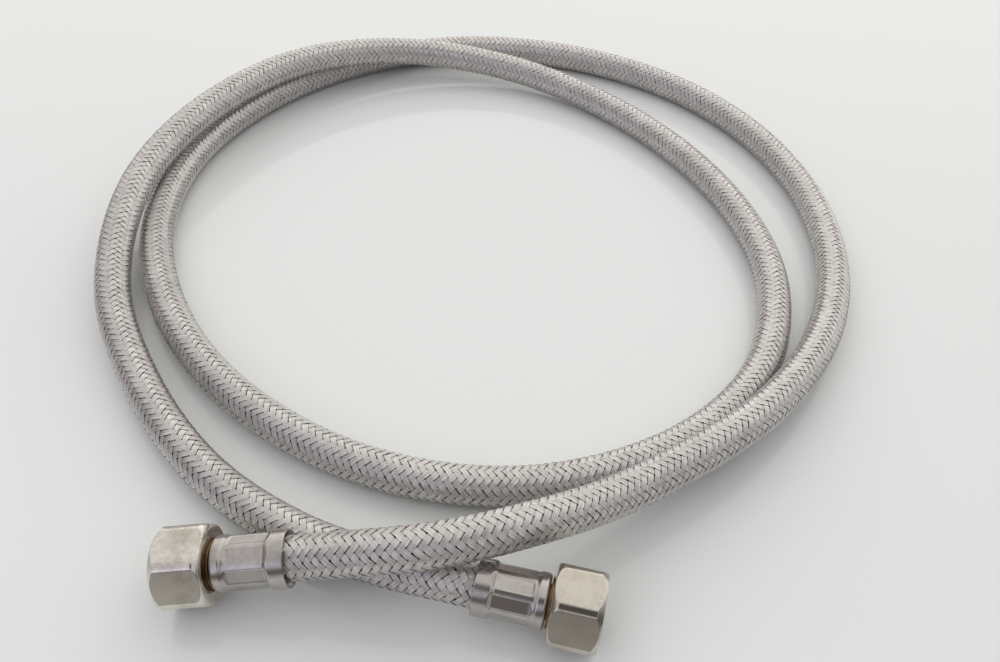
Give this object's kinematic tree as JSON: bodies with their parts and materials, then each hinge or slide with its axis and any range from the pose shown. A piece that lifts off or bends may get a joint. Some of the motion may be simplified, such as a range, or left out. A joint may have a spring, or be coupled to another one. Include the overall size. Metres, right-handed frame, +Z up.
{
  "type": "braided supply hose",
  "caption": "Steel-braided rubber water hose lying in a loose coil, with a crimped ferrule, brass nipple, flat gasket and free-turning union nut at each end.",
  "frame": {"origin": "on the floor, midway between the outer ends of the two fittings", "axes": "+X along the outlet fitting, outwards, +Y over the floor towards the far side of the coil, +Z up"},
  "size_m": [0.3208, 0.3813, 0.0332],
  "materials": {
    "braid": "woven bands of bright stainless wire",
    "rubber": "matt black rubber",
    "steel": "satin pressed stainless steel",
    "nickel": "nickel plate on turned brass, lightly pitted",
    "brass": "turned brass",
    "fibre": "matt fibre and rubber gasket"
  },
  "bodies": {
    "hose": {"braid": "braid", "liner": "rubber", "inlet_ferrule": "steel", "inlet_nipple": "brass", "inlet_gasket": "fibre", "outlet_ferrule": "steel", "outlet_nipple": "brass", "outlet_gasket": "fibre"},
    "inlet_nut": {"inlet_nut": "nickel"},
    "outlet_nut": {"outlet_nut": "nickel"}
  },
  "joints": [
    {"name": "inlet_nut_spin", "type": "hinge", "parent": "hose", "child": "inlet_nut", "pos_m": [-0.0268, 0.0003, 0.01779], "axis": [-0.9579, -0.2416, -0.1549], "continuous": true},
    {"name": "outlet_nut_spin", "type": "hinge", "parent": "hose", "child": "outlet_nut", "pos_m": [0.0286, 0.0082, 0.012], "axis": [1, 0, 0], "continuous": true}
  ]
}
